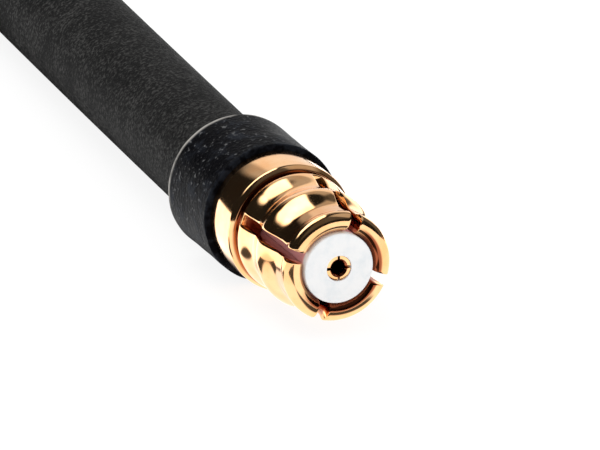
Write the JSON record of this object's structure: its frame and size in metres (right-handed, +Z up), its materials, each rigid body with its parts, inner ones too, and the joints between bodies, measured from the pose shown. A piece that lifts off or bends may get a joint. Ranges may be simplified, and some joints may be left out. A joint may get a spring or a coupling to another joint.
{
  "type": "smp connector",
  "caption": "Push-on miniature coaxial connector, gold-plated and slotted, in a black crimp boot on a short flexible cable with the same connector at its far end.",
  "frame": {"origin": "on the near connector's axis, in the plane of its mating face", "axes": "-Y is the direction the mating face looks and the mating part leaves; +Y runs back along the cable; +Z is up as the assembly lies on a level surface"},
  "size_m": [0.0479, 0.0667, 0.0042],
  "materials": {
    "gold": "bright gold plate over turned metal",
    "ptfe": "smooth matt white",
    "heat_shrink": "satin black, shrunk over the crimp",
    "cable_jacket": "matt black",
    "copper": "bright wire"
  },
  "bodies": {
    "root": {"spring_contact": "gold", "rear_body": "gold", "front_insulator": "ptfe", "rear_insulator": "ptfe", "centre_contact": "gold", "conductor_end": "copper", "core_end": "ptfe", "braid_end": "copper", "crimp_ferrule": "gold", "boot": "heat_shrink", "cable": "cable_jacket", "far_spring_contact": "gold", "far_rear_body": "gold", "far_front_insulator": "ptfe", "far_rear_insulator": "ptfe", "far_centre_contact": "gold", "far_conductor_end": "copper", "far_core_end": "ptfe", "far_braid_end": "copper", "far_crimp_ferrule": "gold", "far_boot": "heat_shrink"}
  },
  "joints": []
}
